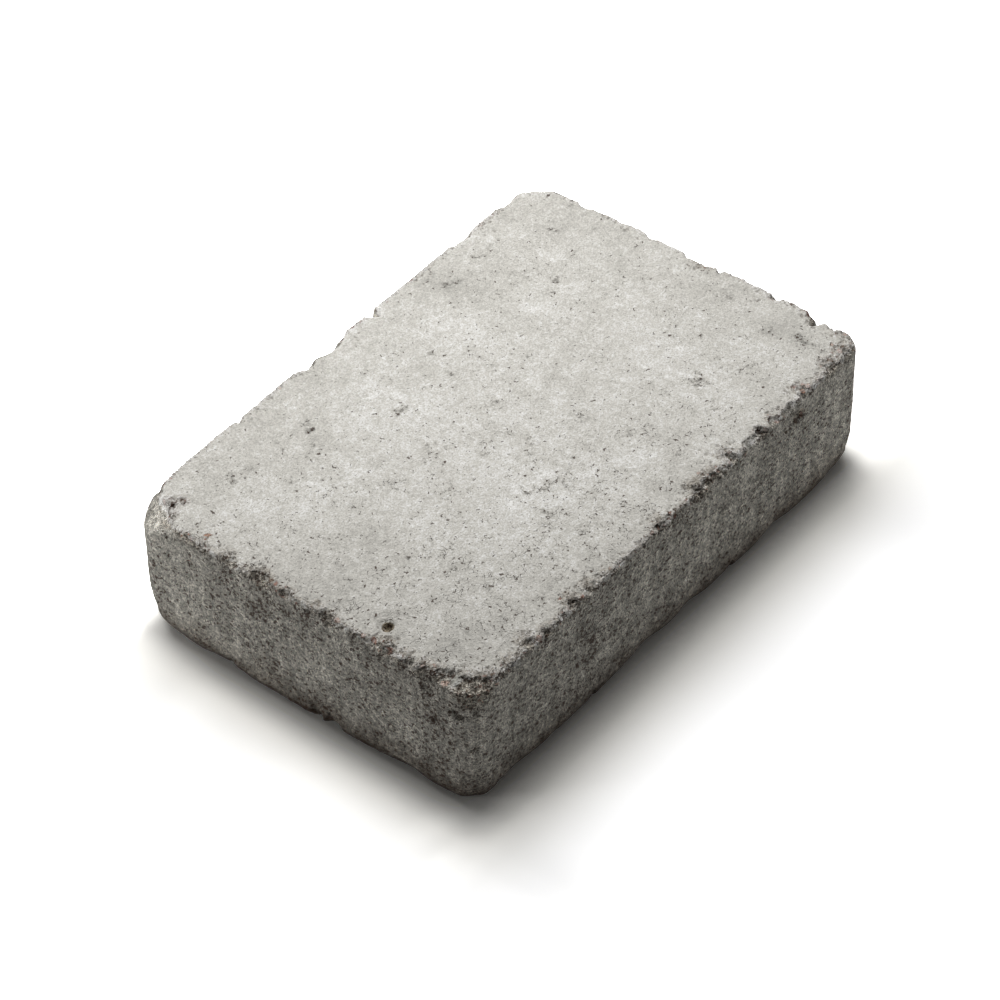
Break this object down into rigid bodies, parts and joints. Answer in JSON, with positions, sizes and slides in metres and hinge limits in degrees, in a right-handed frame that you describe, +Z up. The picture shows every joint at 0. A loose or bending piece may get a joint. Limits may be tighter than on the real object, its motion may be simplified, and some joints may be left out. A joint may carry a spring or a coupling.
{
  "type": "concrete paving stone",
  "caption": "Tumbled grey concrete paving stone: a rectangular cast block with a level wearing face, worn upright arrises and chipped edges.",
  "frame": {"origin": "middle of the stone on the plane of its bed face", "axes": "+X along the length, +Y along the width, +Z up from the bed face to the wearing face; the spalled corner is at -X -Y"},
  "size_m": [0.21, 0.14, 0.052],
  "materials": {
    "concrete": "matt, open-pored grey concrete, paler on the wearing face"
  },
  "bodies": {
    "root": {"paving_stone": "concrete"}
  },
  "joints": []
}
